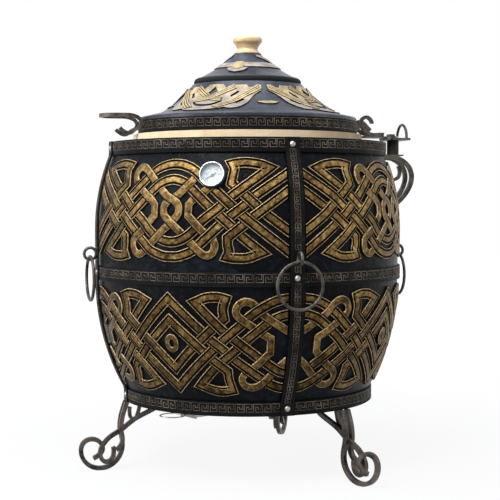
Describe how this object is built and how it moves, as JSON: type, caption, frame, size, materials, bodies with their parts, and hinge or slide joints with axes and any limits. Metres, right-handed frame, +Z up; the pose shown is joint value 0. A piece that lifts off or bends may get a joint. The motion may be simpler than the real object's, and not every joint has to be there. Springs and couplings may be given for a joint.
{
  "type": "electric tandoor",
  "caption": "Electric tandoor: a bulging clay oven in steel hoops on scrolled legs, with a hinged clay lid, carrying rings and a dial thermometer.",
  "frame": {"origin": "on the floor under the barrel's axis, which is within 7 mm of the middle of the overall box", "axes": "+Z up, -Y towards the side with the thermometer, +X towards the lid's hinge"},
  "size_m": [0.7198, 0.6962, 0.9176],
  "materials": {
    "fired_clay": "matt fired clay, painted black on the barrel and bare on the neck and lid",
    "embossed_steel": "embossed steel strip with a dark bronze paint",
    "forged_steel": "hammered forged steel with a dark brown-black paint",
    "base_steel": "black painted plate",
    "bright_steel": "plain bright steel",
    "element_sheath": "heat-tinted stainless steel",
    "cast_grate": "as cast",
    "white_ceramic": "unglazed steatite",
    "zinc_sheet": "zinc-plated sheet steel",
    "gland_brass": "nickel-plated brass",
    "lead_copper": "tinned copper wire",
    "turned_wood": "clear varnish",
    "dial_face": "white enamel with black numbers",
    "dial_lens": "clear flat glass",
    "pointer_black": "matt black"
  },
  "bodies": {
    "cooker": {"base_plate": "base_steel", "bottom_hoop": "embossed_steel", "cable_gland": "gland_brass", "clay_body": "fired_clay", "element_bushings": "white_ceramic", "element_leads": "lead_copper", "element_saddles": "element_sheath", "gland_dome_nut": "gland_brass", "hearth_grate": "cast_grate", "heating_element": "element_sheath", "hinge_base_plate": "forged_steel", "hinge_bracket_bars": "forged_steel", "hinge_bracket_curl": "forged_steel", "hinge_clamp_block": "forged_steel", "hinge_lower_plate": "forged_steel", "hinge_pin": "bright_steel", "hinge_plate_bolt": "bright_steel", "hinge_post": "forged_steel", "hoop_straps": "embossed_steel", "leg_braces": "forged_steel", "leg_curls": "forged_steel", "leg_scroll_left": "forged_steel", "leg_scroll_rear": "forged_steel", "leg_scroll_right": "forged_steel", "leg_tie_bars": "forged_steel", "lid_stop_hoop": "forged_steel", "middle_hoop": "embossed_steel", "ring_eyelets": "forged_steel", "strap_rivets": "bright_steel", "terminal_block": "white_ceramic", "terminal_box": "zinc_sheet", "terminal_cover": "zinc_sheet", "terminal_cover_screws": "bright_steel", "thermometer_case": "bright_steel", "thermometer_dial": "dial_face", "thermometer_lens": "dial_lens", "thermometer_stem": "bright_steel", "top_hoop": "embossed_steel", "tray_rails": "zinc_sheet"},
    "lid": {"lid_shell": "fired_clay", "lid_band": "embossed_steel", "lid_scroll_front": "forged_steel", "lid_scroll_rear": "forged_steel", "lid_hinge_lug": "forged_steel", "hinge_leaf": "forged_steel", "lid_handle": "forged_steel"},
    "vent_lid_body": {"vent_lid": "fired_clay", "knob": "turned_wood", "knob_plate": "forged_steel", "knob_stud": "bright_steel", "knob_nut": "bright_steel"},
    "crumb_tray_body": {"crumb_tray": "zinc_sheet", "tray_pull_ring": "bright_steel", "tray_ring_staple": "bright_steel"},
    "pointer": {"thermometer_pointer": "pointer_black"},
    "ring_front": {"carrying_ring_front": "forged_steel"},
    "ring_right": {"carrying_ring_right": "forged_steel"},
    "ring_rear": {"carrying_ring_rear": "forged_steel"},
    "ring_left": {"carrying_ring_left": "forged_steel"}
  },
  "joints": [
    {"name": "lid_hinge", "type": "hinge", "parent": "cooker", "child": "lid", "pos_m": [0.30303, 0.06996, 0.7015], "axis": [-0.225, 0.9744, 0], "range_deg": [0, 90]},
    {"name": "vent_lid_lift", "type": "slide", "parent": "lid", "child": "vent_lid_body", "axis": [0, 0, 1], "range_m": [0, 0.05]},
    {"name": "crumb_tray_slide", "type": "slide", "parent": "cooker", "child": "crumb_tray_body", "axis": [-0.7837, -0.6211, 0], "range_m": [0, 0.15]},
    {"name": "thermometer_needle", "type": "hinge", "parent": "cooker", "child": "pointer", "pos_m": [-0.06535, -0.29971, 0.6129], "axis": [0.2054, 0.9422, -0.2647], "range_deg": [-15, 255]},
    {"name": "ring_swing_front", "type": "hinge", "parent": "cooker", "child": "ring_front", "pos_m": [0.09967, -0.326, 0.44975], "axis": [-0.9563, -0.2924, 0], "range_deg": [0, 170]},
    {"name": "ring_swing_right", "type": "hinge", "parent": "cooker", "child": "ring_right", "pos_m": [0.33216, 0.07669, 0.44975], "axis": [0.225, -0.9744, 0], "range_deg": [0, 170]},
    {"name": "ring_swing_rear", "type": "hinge", "parent": "cooker", "child": "ring_rear", "pos_m": [-0.09967, 0.326, 0.44975], "axis": [0.9563, 0.2924, 0], "range_deg": [0, 170]},
    {"name": "ring_swing_left", "type": "hinge", "parent": "cooker", "child": "ring_left", "pos_m": [-0.326, -0.09967, 0.44975], "axis": [-0.2924, 0.9563, 0], "range_deg": [0, 170]}
  ]
}
